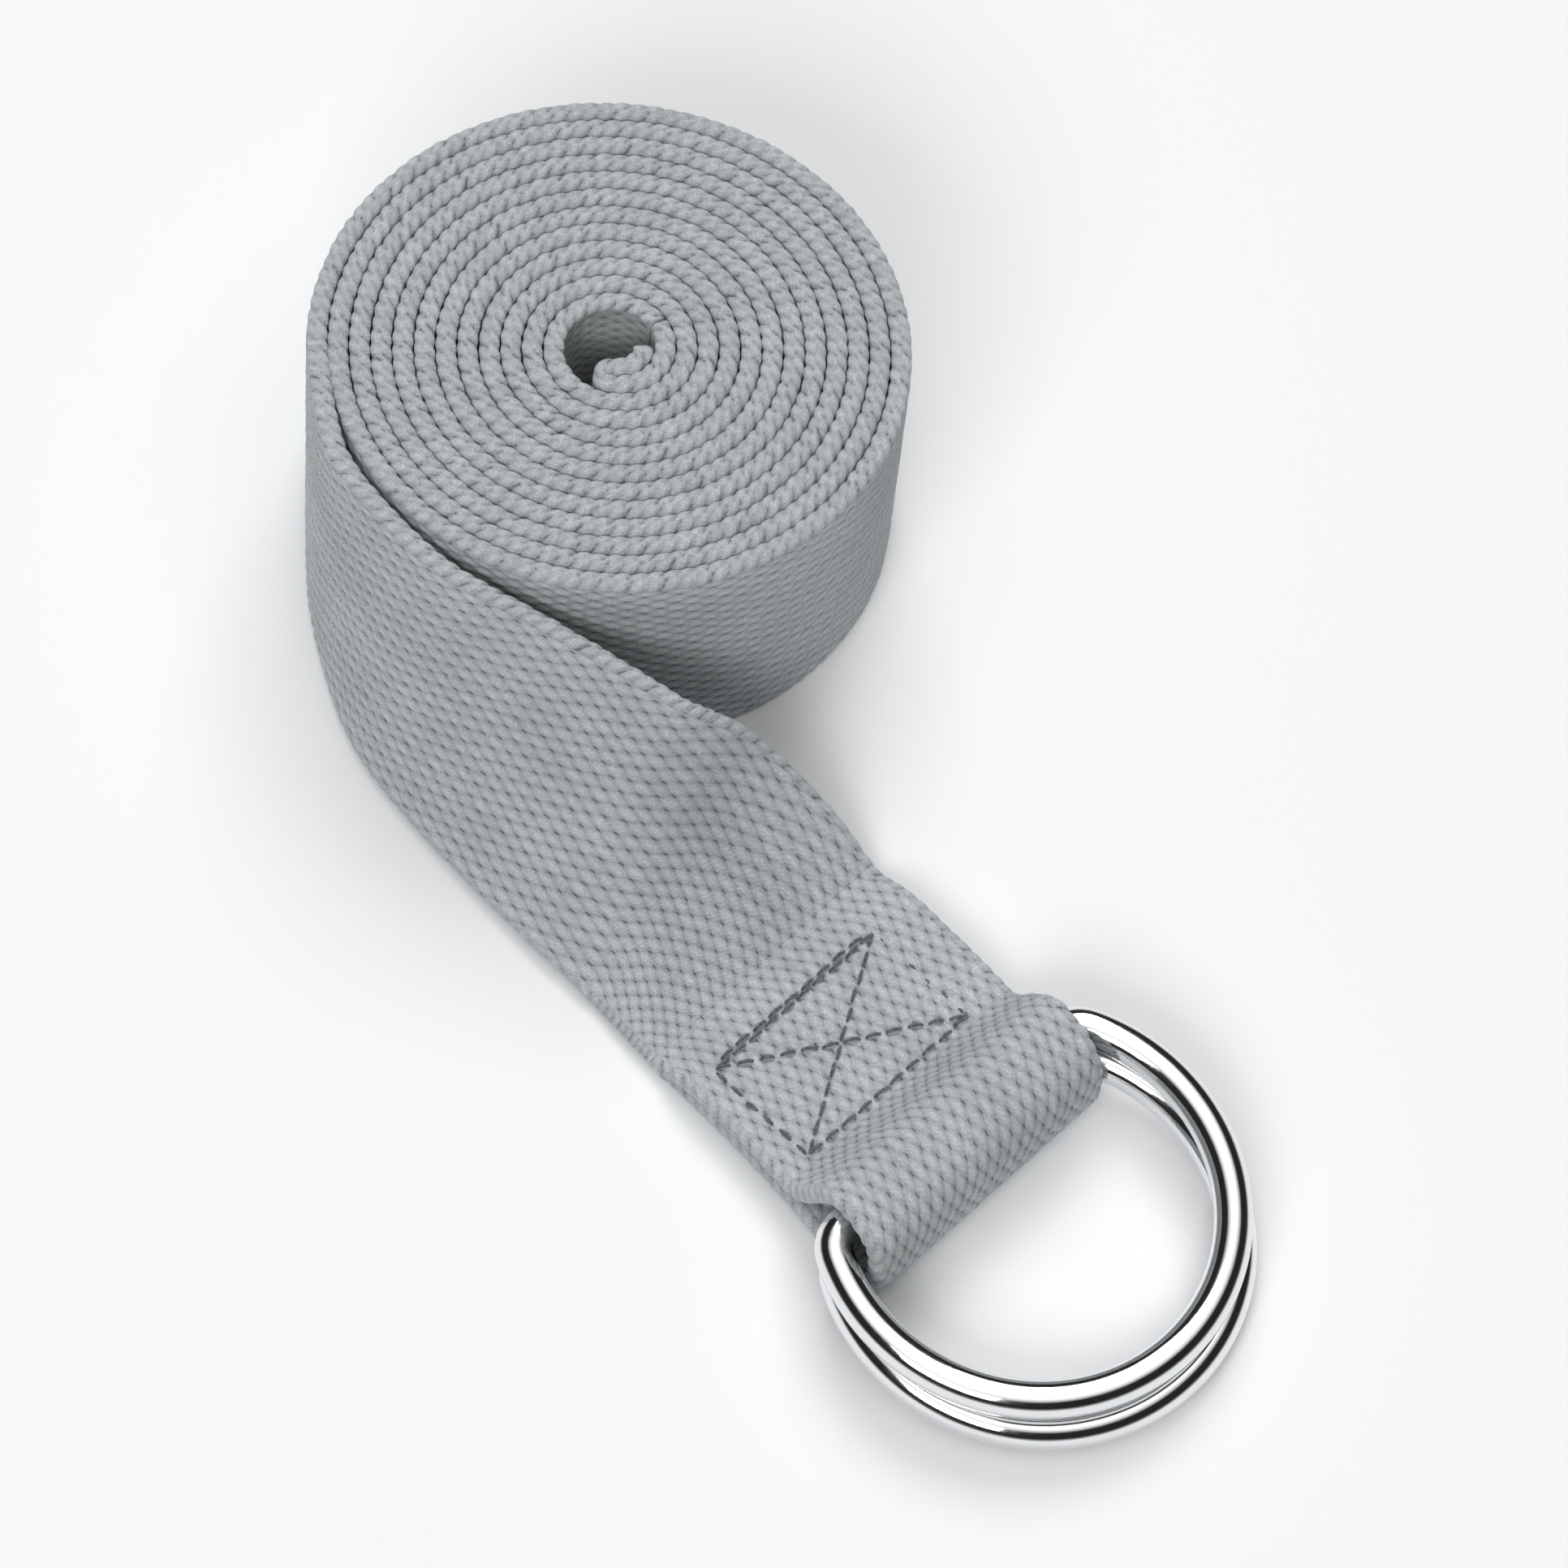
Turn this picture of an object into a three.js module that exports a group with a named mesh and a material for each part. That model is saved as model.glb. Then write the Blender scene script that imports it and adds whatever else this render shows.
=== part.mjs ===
// A rolled stretching strap: one long cotton webbing wound on edge, its free end led out flat,
// turned under round the bars of two D-rings and held there by a boxed cross of stitching.
// Millimetres, +Z up. The ring end points along +X and the roll stands at the -X side.
import * as THREE from 'three';

// Webbing
const webWidth = 38;
const webThick = 2.4;
const layerGap = 0.15;      // between two layers that lie on each other
const jointGap = 0.3;       // between two nodes of the same webbing

// Roll
const rollRadius = 36.5;    // outer face of the outermost turn where the lead leaves
const rollTurns = 11.4;
const ovality = 0.022;      // share by which the roll is longer one way than the other
const ovalAxis = THREE.MathUtils.degToRad(41);
const stepsPerTurn = 32;
const takeOffAngle = THREE.MathUtils.degToRad(-134);
const rollX = -43.8;
const rollY = 11.6;

// Inner end, hemmed back on itself inside the core
const hemReach = THREE.MathUtils.degToRad(125);   // from the end of the roll to the hem's fold
const hemReturn = THREE.MathUtils.degToRad(92);   // from the fold back along the inside

// Lead from the roll to the ring end
const nearEdgeY = -38.9;    // edge of the flat webbing on the side away from the roll
const flatX = 16;           // the webbing lies flat from here on
const leadSteps = 40;
const leadTrim = 0.012;     // share of the lead left out at each end, next to its neighbours
// Where the lower outer edge runs on the ground and how far the webbing leans there:
// x and y of the edge, then the direction across the width.
const leadStations = [
  { edge: [-69.7, -15.2], across: [0, 0, 38] },
  { edge: [-63.1, -21.4], across: [0.4, 1.0, 38] },
  { edge: [-57.7, -25.9], across: [1.2, 1.9, 37.9] },
  { edge: [-49.6, -31.1], across: [2.6, 5.6, 37.4] },
  { edge: [-39.3, -35.8], across: [3.4, 10.9, 36.2] },
  { edge: [-28.5, -37.8], across: [2.6, 16.6, 34.1] },
  { edge: [-15, -38.7], across: [0.8, 21.8, 31.1] },
  { edge: [-3.6, -38.9], across: [-1.9, 25.2, 28.4] },
  { edge: [3, -38.9], across: [-6.5, 28.4, 24.4] },
  { edge: [9, -38.9], across: [-8, 34.6, 13.5] },
  { edge: [16, -38.9], across: [0, 38, 0] },
];

// Rings
const wireDia = 4.7;
const wireSides = 10;
const bowRadius = 24.4;     // centre line of the round part
const bowCentre = 13.1;     // its centre, measured from the bar
const cornerRadius = 4;
const barClearance = 0.66;  // all round a bar inside the loop
const barRoom = 0.95;       // ahead of the lower bar, which lies askew in the loop
const ringGap = 0.3;
const lowerYaw = -1.5;
const upperYaw = 0.5;
const ringY = -22.45;       // the rings hang a little towards the near edge
const barStagger = 1.9;     // the upper bar lies this far behind the lower one

// Loop and turned-under end
const foldX = 57.6;         // front of the loop
const turnedLength = 39.6;   // from the front of the loop to the cut end
const endDrift = 3.1;       // how far the ring end has swung towards the near edge
const seamLift = 0.6;       // the sewn layers stand clear of the ground before the rings

// Stitching
const threadDia = 0.8;
const threadSides = 6;
const stitchLength = 3.1;
const stitchWave = 0.12;
const boxFrontX = 39.4;
const boxLength = 16.2;
const boxHalfWidth = 13.6;
const boxShift = -1.9;      // the box sits a little towards the near edge
const rowInset = 1.1;       // each row stops short of the box's corners

const wireRadius = wireDia / 2;
const webCentreY = nearEdgeY + webWidth / 2;
const pitch = webThick + layerGap;

const webbing = new THREE.MeshStandardMaterial({ color: 0x9ba0a3, roughness: 0.95, metalness: 0 });
const steel = new THREE.MeshStandardMaterial({ color: 0xd4d6d6, roughness: 0.12, metalness: 1 });
const thread = new THREE.MeshStandardMaterial({ color: 0x5d5c68, roughness: 0.7, metalness: 0 });

const strap = new THREE.Group();

function addMesh(parent, name, geometry, material) {
  const mesh = new THREE.Mesh(geometry, material);
  mesh.name = name;
  parent.add(mesh);
  return mesh;
}

// A solid skinned over a row of equal sections, joined end to start when it is closed.
function loft(sections, closed = false) {
  const count = sections[0].length;
  const positions = sections.flat().flatMap((p) => [p.x, p.y, p.z]);
  const faces = [];
  const spans = closed ? sections.length : sections.length - 1;
  for (let i = 0; i < spans; i += 1) {
    const here = i * count;
    const next = ((i + 1) % sections.length) * count;
    for (let j = 0; j < count; j += 1) {
      const k = (j + 1) % count;
      faces.push(here + j, here + k, next + k, here + j, next + k, next + j);
    }
  }
  if (!closed) {
    const last = (sections.length - 1) * count;
    for (let j = 1; j < count - 1; j += 1) {
      faces.push(0, j + 1, j, last, last + j, last + j + 1);
    }
  }
  const geometry = new THREE.BufferGeometry();
  geometry.setAttribute('position', new THREE.Float32BufferAttribute(positions, 3));
  geometry.setIndex(volumeOf(positions, faces) < 0 ? faces.reverse() : faces);
  return geometry;
}

function volumeOf(positions, faces) {
  const corner = (n) => new THREE.Vector3().fromArray(positions, 3 * faces[n]);
  let sum = 0;
  for (let n = 0; n < faces.length; n += 3) {
    sum += corner(n).dot(corner(n + 1).cross(corner(n + 2)));
  }
  return sum;
}

// A strip of webbing seen edge on: its middle line thickened to both sides, as a closed outline.
function stripOutline(middle) {
  const left = [];
  const right = [];
  middle.forEach((point, i) => {
    const before = middle[Math.max(i - 1, 0)];
    const after = middle[Math.min(i + 1, middle.length - 1)];
    const along = after.clone().sub(before).normalize();
    const across = new THREE.Vector2(-along.y, along.x).multiplyScalar(webThick / 2);
    left.push(point.clone().add(across));
    right.push(point.clone().sub(across));
  });
  return new THREE.Shape([...left, ...right.reverse()]);
}

function extrudeWidth(shape) {
  return new THREE.ExtrudeGeometry(shape, { depth: webWidth, bevelEnabled: false });
}

// Middle line of the winding; wound counts radians from the take-off, going inwards.
function windingPoint(wound, offset = 0) {
  const angle = takeOffAngle - wound;
  const round = rollRadius - webThick / 2 - (pitch * wound) / (2 * Math.PI) - offset;
  const radius = round * (1 + ovality * Math.cos(2 * (angle - ovalAxis)));
  return new THREE.Vector2(rollX + radius * Math.cos(angle), rollY + radius * Math.sin(angle));
}

function windingArc(from, to, offset = 0) {
  const steps = Math.max(2, Math.round((Math.abs(to - from) * stepsPerTurn) / (2 * Math.PI)));
  const points = [];
  for (let i = 0; i <= steps; i += 1) {
    points.push(windingPoint(from + ((to - from) * i) / steps, offset));
  }
  return points;
}

const rollEnd = Math.round(rollTurns * stepsPerTurn) * ((2 * Math.PI) / stepsPerTurn);

function addRoll() {
  addMesh(strap, 'webbing_roll', extrudeWidth(stripOutline(windingArc(0, rollEnd))), webbing);
}

// The last stretch of the winding, folded back along its own inside.
function addTailHem() {
  const startRadius = windingPoint(rollEnd).distanceTo(new THREE.Vector2(rollX, rollY));
  const start = rollEnd + jointGap / startRadius;
  const fold = start + hemReach;
  const outer = windingArc(start, fold);
  const inner = windingArc(fold, fold - hemReturn, pitch);
  const centre = outer.at(-1).clone().add(inner[0]).multiplyScalar(0.5);
  const arm = outer.at(-1).clone().sub(centre);
  const bend = [];
  for (let i = 1; i < 6; i += 1) {
    bend.push(arm.clone().rotateAround(new THREE.Vector2(), (-Math.PI * i) / 6).add(centre));
  }
  addMesh(strap, 'webbing_tail_hem', extrudeWidth(stripOutline([...outer, ...bend, ...inner])), webbing);
  return inner;
}

// The lead is skinned between its two outer edges, which run through the stations.
const leadEdge = new THREE.CatmullRomCurve3(leadStations.map((s) => new THREE.Vector3(...s.edge, 0)));
const leadAcross = new THREE.CatmullRomCurve3(leadStations.map((s) => new THREE.Vector3(...s.across)));

function leadSection(share) {
  const along = leadEdge.getTangent(share);
  const across = leadAcross.getPoint(share).setLength(webWidth);
  const outwards = new THREE.Vector3().crossVectors(along, across).normalize();
  const near = leadEdge.getPoint(share);
  near.z = webThick * Math.max(0, outwards.z);
  const far = near.clone().add(across);
  const inwards = outwards.multiplyScalar(-webThick);
  return [near.clone().add(inwards), near, far, far.clone().add(inwards)];
}

function addLead() {
  const sections = [];
  for (let i = 0; i <= leadSteps; i += 1) {
    sections.push(leadSection(THREE.MathUtils.lerp(leadTrim / 4, 1 - leadTrim / 4, i / leadSteps)));
  }
  addMesh(strap, 'webbing_lead', loft(sections), webbing);
}

// Heights and places inside the loop
const lowerBarX = foldX - webThick - barRoom - wireRadius;
const lowerBarZ = webThick + barClearance + wireRadius;
const upperBarX = lowerBarX - barStagger;
const upperBarZ = lowerBarZ + wireDia + ringGap;
const loopTopMid = upperBarZ + wireRadius + barClearance + webThick / 2;
const seamLowMid = seamLift + webThick / 2;
const seamTopMid = seamLowMid + pitch;
const cutX = foldX - turnedLength;
const seamFrontX = boxFrontX + 1.2;

// Middle line of the ring end in the XZ plane, from the lead over the bars to the cut end.
function loopLine() {
  const line = new THREE.Path();
  const ground = webThick / 2;
  const foldMid = foldX - webThick / 2;
  const stepEnd = cutX + 4;
  line.moveTo(flatX, ground);
  line.bezierCurveTo(flatX + 2, ground, stepEnd - 3, ground + pitch, stepEnd, ground + pitch);
  line.bezierCurveTo(stepEnd + 6, ground + pitch, seamFrontX - 8, seamTopMid, seamFrontX, seamTopMid);
  line.bezierCurveTo(seamFrontX + 1.5, seamTopMid, upperBarX - 7.6, loopTopMid, upperBarX, loopTopMid);
  line.bezierCurveTo(upperBarX + 5, loopTopMid, foldMid, upperBarZ + 2, foldMid, lowerBarZ + 1.2);
  line.bezierCurveTo(foldMid, ground + 0.8, foldMid - 0.8, ground, lowerBarX - 2, ground);
  line.bezierCurveTo(lowerBarX - 5, ground, seamFrontX + 2, seamLowMid, seamFrontX, seamLowMid);
  line.bezierCurveTo(seamFrontX - 8, seamLowMid, stepEnd + 8, ground, cutX, ground);
  return line.getPoints(7);
}

function addRingLoop() {
  const geometry = extrudeWidth(stripOutline(loopLine()));
  geometry.rotateX(Math.PI / 2);
  geometry.translate(0, nearEdgeY + webWidth, 0);
  const spots = geometry.attributes.position;
  for (let i = 0; i < spots.count; i += 1) {
    const reach = Math.max(0, spots.getX(i) - flatX) / (foldX - flatX);
    spots.setY(i, spots.getY(i) - endDrift * reach ** 2);
  }
  addMesh(strap, 'webbing_ring_loop', geometry, webbing);
}

// Centre line of a ring in its own plane, with the middle of the bar at the origin.
function ringLine() {
  const reach = bowRadius - cornerRadius;
  const cornerY = Math.sqrt(reach ** 2 - (bowCentre - cornerRadius) ** 2);
  const bowAngle = Math.atan2(cornerY, cornerRadius - bowCentre);
  const line = new THREE.Path();
  line.absarc(cornerRadius, cornerY, cornerRadius, Math.PI, bowAngle, true);
  const corner = line.getPoints(3);
  const bow = new THREE.Path();
  bow.absarc(bowCentre, 0, bowRadius, bowAngle, 0, true);
  const half = [...corner, ...bow.getPoints(8).slice(1)];
  const mirrored = half.slice(0, -1).reverse().map((p) => new THREE.Vector2(p.x, -p.y));
  return [...half, ...mirrored];
}

function ringGeometry() {
  const line = ringLine();
  const sections = line.map((point, i) => {
    const before = line[(i + line.length - 1) % line.length];
    const after = line[(i + 1) % line.length];
    const along = after.clone().sub(before).normalize();
    const side = new THREE.Vector3(along.y, -along.x, 0);
    const section = [];
    for (let j = 0; j < wireSides; j += 1) {
      const turn = (2 * Math.PI * (j + 0.5)) / wireSides;
      const spot = new THREE.Vector3(point.x, point.y, 0);
      spot.addScaledVector(side, wireRadius * Math.cos(turn));
      spot.z += wireRadius * Math.sin(turn);
      section.push(spot);
    }
    return section;
  });
  return loft(sections, true);
}

// Positive pitch lowers the bow.
function addRing(name, barX, barZ, yaw, pitchDown) {
  const holder = new THREE.Group();
  holder.position.set(barX, ringY, barZ);
  holder.rotation.order = 'ZYX';
  holder.rotation.z = THREE.MathUtils.degToRad(yaw);
  holder.rotation.y = pitchDown;
  strap.add(holder);
  addMesh(holder, name, ringGeometry(), steel);
}

function addRings() {
  const reach = bowCentre + bowRadius;
  const fall = Math.asin((lowerBarZ - wireRadius) / reach);
  addRing('d_ring_lower', lowerBarX, lowerBarZ, lowerYaw, fall);
  addRing('d_ring_upper', upperBarX, upperBarZ, upperYaw, fall);
}

// One row of lockstitch thread: a tube that rises and dips once in each stitch.
function threadRow(from, to, outwards) {
  const run = to.clone().sub(from);
  const along = run.clone().normalize();
  const side = new THREE.Vector3().crossVectors(outwards, along);
  const steps = Math.max(2, Math.round(run.length() / stitchLength)) * 3;
  const sections = [];
  for (let i = 0; i <= steps; i += 1) {
    const centre = from.clone().addScaledVector(run, i / steps);
    centre.addScaledVector(outwards, stitchWave * (1 - Math.cos((2 * Math.PI * i) / 3)));
    const section = [];
    for (let j = 0; j < threadSides; j += 1) {
      const turn = (2 * Math.PI * j) / threadSides;
      const spot = centre.clone().addScaledVector(side, (threadDia / 2) * Math.cos(turn));
      section.push(spot.addScaledVector(outwards, (threadDia / 2) * Math.sin(turn)));
    }
    sections.push(section);
  }
  return loft(sections);
}

const loopPoints = loopLine();

// Height of the sewn face at a place along the strap, on the way from the lead to the rings.
function seamHeight(x) {
  const i = loopPoints.findIndex((p) => p.x >= x);
  const a = loopPoints[i - 1];
  const b = loopPoints[i];
  const mid = THREE.MathUtils.mapLinear(x, a.x, b.x, a.y, b.y);
  return mid + webThick / 2;
}

function addBoxStitching() {
  const up = new THREE.Vector3(0, 0, 1);
  const middleY = webCentreY + boxShift;
  const rearX = boxFrontX - boxLength;
  const above = threadDia / 2 + jointGap / 2;
  const spot = (x, y, raise = 0) => new THREE.Vector3(x, y, seamHeight(x) + above + raise);
  const near = middleY - boxHalfWidth;
  const far = middleY + boxHalfWidth;
  const rows = {
    stitch_rear_row: [spot(rearX, near), spot(rearX, far)],
    stitch_front_row: [spot(boxFrontX, near), spot(boxFrontX, far)],
    stitch_side_near: [spot(rearX + rowInset, near, 0.1), spot(boxFrontX - rowInset, near, 0.1)],
    stitch_side_far: [spot(rearX + rowInset, far, 0.1), spot(boxFrontX - rowInset, far, 0.1)],
  };
  const runs = { a: [near, far], b: [far, near] };
  const skew = (2 * boxHalfWidth) / boxLength;
  Object.entries(runs).forEach(([letter, [fromY, toY]], i) => {
    const turn = Math.sign(toY - fromY) * skew * rowInset * 1.3;
    const raise = 0.1 + i * (threadDia + 2 * stitchWave + 0.1);
    rows[`stitch_cross_${letter}`] = [
      spot(rearX + rowInset * 1.3, fromY + turn, raise),
      spot(boxFrontX - rowInset * 1.3, toY - turn, raise),
    ];
  });
  Object.entries(rows).forEach(([name, [from, to]]) => {
    addMesh(strap, name, threadRow(from, to, up), thread);
  });
}

// A single row down the hem, on the face that looks into the core.
function addHemStitching(inner) {
  const place = inner[Math.floor(inner.length / 2)];
  const core = new THREE.Vector2(rollX, rollY);
  const outwards = core.clone().sub(place).normalize();
  const foot = place.clone().addScaledVector(outwards, webThick / 2 + threadDia / 2 + jointGap);
  const from = new THREE.Vector3(foot.x, foot.y, rowInset);
  const to = new THREE.Vector3(foot.x, foot.y, webWidth - rowInset);
  const row = threadRow(from, to, new THREE.Vector3(outwards.x, outwards.y, 0));
  addMesh(strap, 'stitch_hem_row', row, thread);
}

addRoll();
const hemInside = addTailHem();
addLead();
addRingLoop();
addRings();
addBoxStitching();
addHemStitching(hemInside);

// The origin is the middle of the footprint, on the ground.
const extent = new THREE.Box3().setFromObject(strap, true);
const middle = extent.getCenter(new THREE.Vector3());
strap.position.set(-middle.x, -middle.y, 0);
strap.updateMatrixWorld(true);

export default strap;
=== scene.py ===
import bpy
import math
import numpy as np
from mathutils import Matrix, Vector


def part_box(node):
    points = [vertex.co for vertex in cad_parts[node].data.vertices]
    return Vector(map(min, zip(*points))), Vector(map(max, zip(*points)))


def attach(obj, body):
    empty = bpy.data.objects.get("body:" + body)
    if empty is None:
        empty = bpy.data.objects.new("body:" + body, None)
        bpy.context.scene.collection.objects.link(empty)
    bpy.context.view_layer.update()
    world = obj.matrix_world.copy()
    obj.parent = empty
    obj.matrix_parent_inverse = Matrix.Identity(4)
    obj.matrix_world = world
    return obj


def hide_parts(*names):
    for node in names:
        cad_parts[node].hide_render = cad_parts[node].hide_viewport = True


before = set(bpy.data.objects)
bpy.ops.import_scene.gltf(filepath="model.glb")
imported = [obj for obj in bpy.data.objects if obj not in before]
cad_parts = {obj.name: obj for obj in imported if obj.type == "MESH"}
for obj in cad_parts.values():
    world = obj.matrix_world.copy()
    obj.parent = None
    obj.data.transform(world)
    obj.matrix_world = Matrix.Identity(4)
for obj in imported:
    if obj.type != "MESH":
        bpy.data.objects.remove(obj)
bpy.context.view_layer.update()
mm = 0.001


def boxMm(node):
    low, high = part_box(node)
    return np.array(low) / mm, np.array(high) / mm


strapShape = {
    "width": 38.0,          # of the webbing, mm
    "thick": 2.4,
    "gap": 0.15,            # between two turns
    "frontX": 57.6,         # front of the ring loop, before the model is centred
    "nearY": -38.9,         # near edge of the flat end, likewise
    "rollCentre": (-43.8, 11.6),
    "rollRadius": 36.5,
    "rollTurns": 11.4,
    "takeOff": -134,        # degrees
    "ovality": 0.022,
    "ovalAxis": 41,
    "stepsPerTurn": 32,     # the roll ends on a whole step
    "flatX": 16.0,          # where the webbing starts to lie flat
}
loopHigh = boxMm("webbing_ring_loop")[1]
shift = np.array([
    loopHigh[0] - strapShape["frontX"],
    loopHigh[1] - strapShape["nearY"] - strapShape["width"],
    0.0,
])


def deselectAll():
    if bpy.context.object and bpy.context.object.mode != "OBJECT":
        bpy.ops.object.mode_set(mode="OBJECT")
    bpy.ops.object.select_all(action="DESELECT")


viewShape = {
    "azimuth": 39.0,
    "elevation": 61.86,
    "roll": 7.02,
    "distance": 0.8992,     # metres
    "lens": 167.7,
    "sensor": 36,
    "nearest": 0.01,
}


def addCamera():
    a = math.radians(viewShape["azimuth"])
    e = math.radians(viewShape["elevation"])
    r = math.radians(viewShape["roll"])
    back = Vector((math.sin(a) * math.cos(e), -math.cos(a) * math.cos(e), math.sin(e)))
    right = Vector((math.cos(a), math.sin(a), 0))
    up = Vector((-math.sin(a) * math.sin(e), math.cos(a) * math.sin(e), math.cos(e)))
    turnedRight = right * math.cos(r) + up * math.sin(r)
    turnedUp = up * math.cos(r) - right * math.sin(r)
    target = Vector(shift * mm)
    bpy.ops.object.camera_add()
    camera = bpy.context.object
    camera.name = "view_camera"
    place = Matrix((turnedRight, turnedUp, back)).transposed().to_4x4()
    place.translation = target + back * viewShape["distance"]
    camera.matrix_world = place
    camera.data.lens = viewShape["lens"]
    camera.data.sensor_width = viewShape["sensor"]
    camera.data.clip_start = viewShape["nearest"]
    camera.data.dof.use_dof = False
    bpy.context.scene.camera = camera


lightShape = {
    "world": 1.0,
    "ceiling": 1.3,         # straight above
    "wall": 0.02,           # the dark of the room between ceiling and paper
    "horizon": 0.35,
    "keyPower": 46,
    "keyPlace": (-1.3, 1.5, 2.4),
    "keySize": (1.8, 1.4),
    "fillPower": 40,
    "fillPlace": (0.9, -2.0, 2.0),
    "fillSize": (1.6, 1.2),
    "tint": (0.985, 0.995, 1.0),
    # height on the ramp, and which level shows there
    "bands": ((0.0, "horizon"), (0.06, "horizon"), (0.2, "wall"), (0.72, "wall"), (0.93, "ceiling")),
}
floorLook = {
    "size": 6,
    "drop": 0.0002,
    "paper": (0.874, 0.882, 0.894, 1),
    "roughness": 0.9,
    "specular": 0.1,
}


def addSoftbox(name, place, size, power):
    bpy.ops.object.light_add(type="AREA", location=place)
    lamp = bpy.context.object
    lamp.name = name
    lamp.data.shape = "RECTANGLE"
    lamp.data.size, lamp.data.size_y = size
    lamp.data.energy = power
    lamp.rotation_euler = (-Vector(place)).to_track_quat("-Z", "Y").to_euler()


def addSurroundings():
    deselectAll()
    bpy.ops.mesh.primitive_plane_add(size=floorLook["size"], location=(0, 0, -floorLook["drop"]))
    floor = bpy.context.object
    floor.name = "studio_floor"
    paint = bpy.data.materials.new("floor_paper")
    paint.use_nodes = True
    shader = paint.node_tree.nodes["Principled BSDF"]
    shader.inputs["Base Color"].default_value = floorLook["paper"]
    shader.inputs["Roughness"].default_value = floorLook["roughness"]
    shader.inputs["Specular IOR Level"].default_value = floorLook["specular"]
    floor.data.materials.append(paint)
    world = bpy.data.worlds.new("studio")
    bpy.context.scene.world = world
    world.use_nodes = True
    tree = world.node_tree
    sky = tree.nodes["Background"]
    sky.inputs["Strength"].default_value = lightShape["world"]
    where = tree.nodes.new("ShaderNodeTexCoord")
    split = tree.nodes.new("ShaderNodeSeparateXYZ")
    ramp = tree.nodes.new("ShaderNodeValToRGB")
    tree.links.new(where.outputs["Generated"], split.inputs["Vector"])
    tree.links.new(split.outputs["Z"], ramp.inputs["Fac"])
    tree.links.new(ramp.outputs["Color"], sky.inputs["Color"])
    bands = lightShape["bands"]
    points = ramp.color_ramp.elements
    while len(points) < len(bands):
        points.new(0.5)
    for point, (height, key) in zip(points, bands):
        point.position = height
        point.color = (*(lightShape[key] * share for share in lightShape["tint"]), 1)
    addSoftbox("key_softbox", lightShape["keyPlace"], lightShape["keySize"], lightShape["keyPower"])
    addSoftbox("fill_softbox", lightShape["fillPlace"], lightShape["fillSize"], lightShape["fillPower"])


addCamera()
addSurroundings()
bpy.context.scene.view_settings.view_transform = "Standard"
print("camera, floor and light are up")


# near edge x and y, then the way across the width, from the roll to the flat
leadStations = (
    (-69.7, -15.2, 0, 0, 38),
    (-63.1, -21.4, 0.4, 1.0, 38),
    (-57.7, -25.9, 1.2, 1.9, 37.9),
    (-49.6, -31.1, 2.6, 5.6, 37.4),
    (-39.3, -35.8, 3.4, 10.9, 36.2),
    (-28.5, -37.8, 2.6, 16.6, 34.1),
    (-15, -38.7, 0.8, 21.8, 31.1),
    (-3.6, -38.9, -1.9, 25.2, 28.4),
    (3, -38.9, -6.5, 28.4, 24.4),
    (9, -38.9, -8, 34.6, 13.5),
    (16, -38.9, 0, 38, 0),
)
ringShape = {
    "wire": 4.7,
    "bow": 24.4,            # centre line radius of the round part
    "bowCentre": 13.1,
    "corner": 4.0,
    "clearance": 0.66,
    "barRoom": 0.95,
    "gap": 0.3,
    "stagger": 1.9,
    "midY": -22.45,
    "lowerYaw": -1.5,
    "upperYaw": 0.5,
    "steps": 400,           # round the ring
    "wireSteps": 28,        # round the wire
}
seamShape = {
    "frontX": 39.4,
    "length": 16.2,
    "half": 13.6,
    "midY": -21.8,
    "lift": 0.6,
    "drift": 3.1,           # how far the end has swung towards the near edge
    "turned": 39.6,         # from the front of the loop back to the cut end
    "pressed": 0.55,        # how much the cut end is flattened
    "pressedOver": 7,
    "pull": 0.42,           # how deep the sewing pulls the cloth
    "pullBefore": 44,
    "narrowPull": 1.0,
    "widePull": 2.6,
    "wideShare": 0.35,
    "mostPull": 1.1,
}
trackShape = {
    "rollPoints": 9000,
    "grain": 0.1,
    "softPlace": 19,        # steps that the smoothing reaches over
    "softTurn": 81,
}
lowerBar = (
    strapShape["frontX"] - strapShape["thick"] - ringShape["barRoom"] - ringShape["wire"] / 2,
    strapShape["thick"] + ringShape["clearance"] + ringShape["wire"] / 2,
)
upperBar = (lowerBar[0] - ringShape["stagger"], lowerBar[1] + ringShape["wire"] + ringShape["gap"])


def splineThrough(points, perSpan=40):
    # centripetal spline, the same number of steps in every span
    p = np.vstack([2 * points[0] - points[1], points, 2 * points[-1] - points[-2]])
    out = []
    for i in range(1, len(p) - 2):
        d0, d1, d2 = (np.sum((p[i + k] - p[i + k - 1]) ** 2) ** 0.25 for k in (0, 1, 2))
        t1 = (p[i] - p[i - 1]) / d0 - (p[i + 1] - p[i - 1]) / (d0 + d1) + (p[i + 1] - p[i]) / d1
        t2 = (p[i + 1] - p[i]) / d1 - (p[i + 2] - p[i]) / (d1 + d2) + (p[i + 2] - p[i + 1]) / d2
        t1, t2 = t1 * d1, t2 * d1
        w = np.arange(perSpan)[:, None] / perSpan
        c2 = -3 * p[i] + 3 * p[i + 1] - 2 * t1 - t2
        c3 = 2 * p[i] - 2 * p[i + 1] + t1 + t2
        out.append(p[i] + t1 * w + c2 * w ** 2 + c3 * w ** 3)
    out.append(p[-2][None])
    return np.vstack(out)


def windingPoints(wound, offset=0.0):
    angle = math.radians(strapShape["takeOff"]) - wound
    pitch = strapShape["thick"] + strapShape["gap"]
    radius = strapShape["rollRadius"] - strapShape["thick"] / 2 - pitch * wound / (2 * np.pi) - offset
    oval = np.cos(2 * (angle - math.radians(strapShape["ovalAxis"])))
    radius = radius * (1 + strapShape["ovality"] * oval)
    x = strapShape["rollCentre"][0] + radius * np.cos(angle)
    y = strapShape["rollCentre"][1] + radius * np.sin(angle)
    return np.stack([x, y, np.full_like(x, strapShape["width"] / 2)], axis=1)


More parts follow.
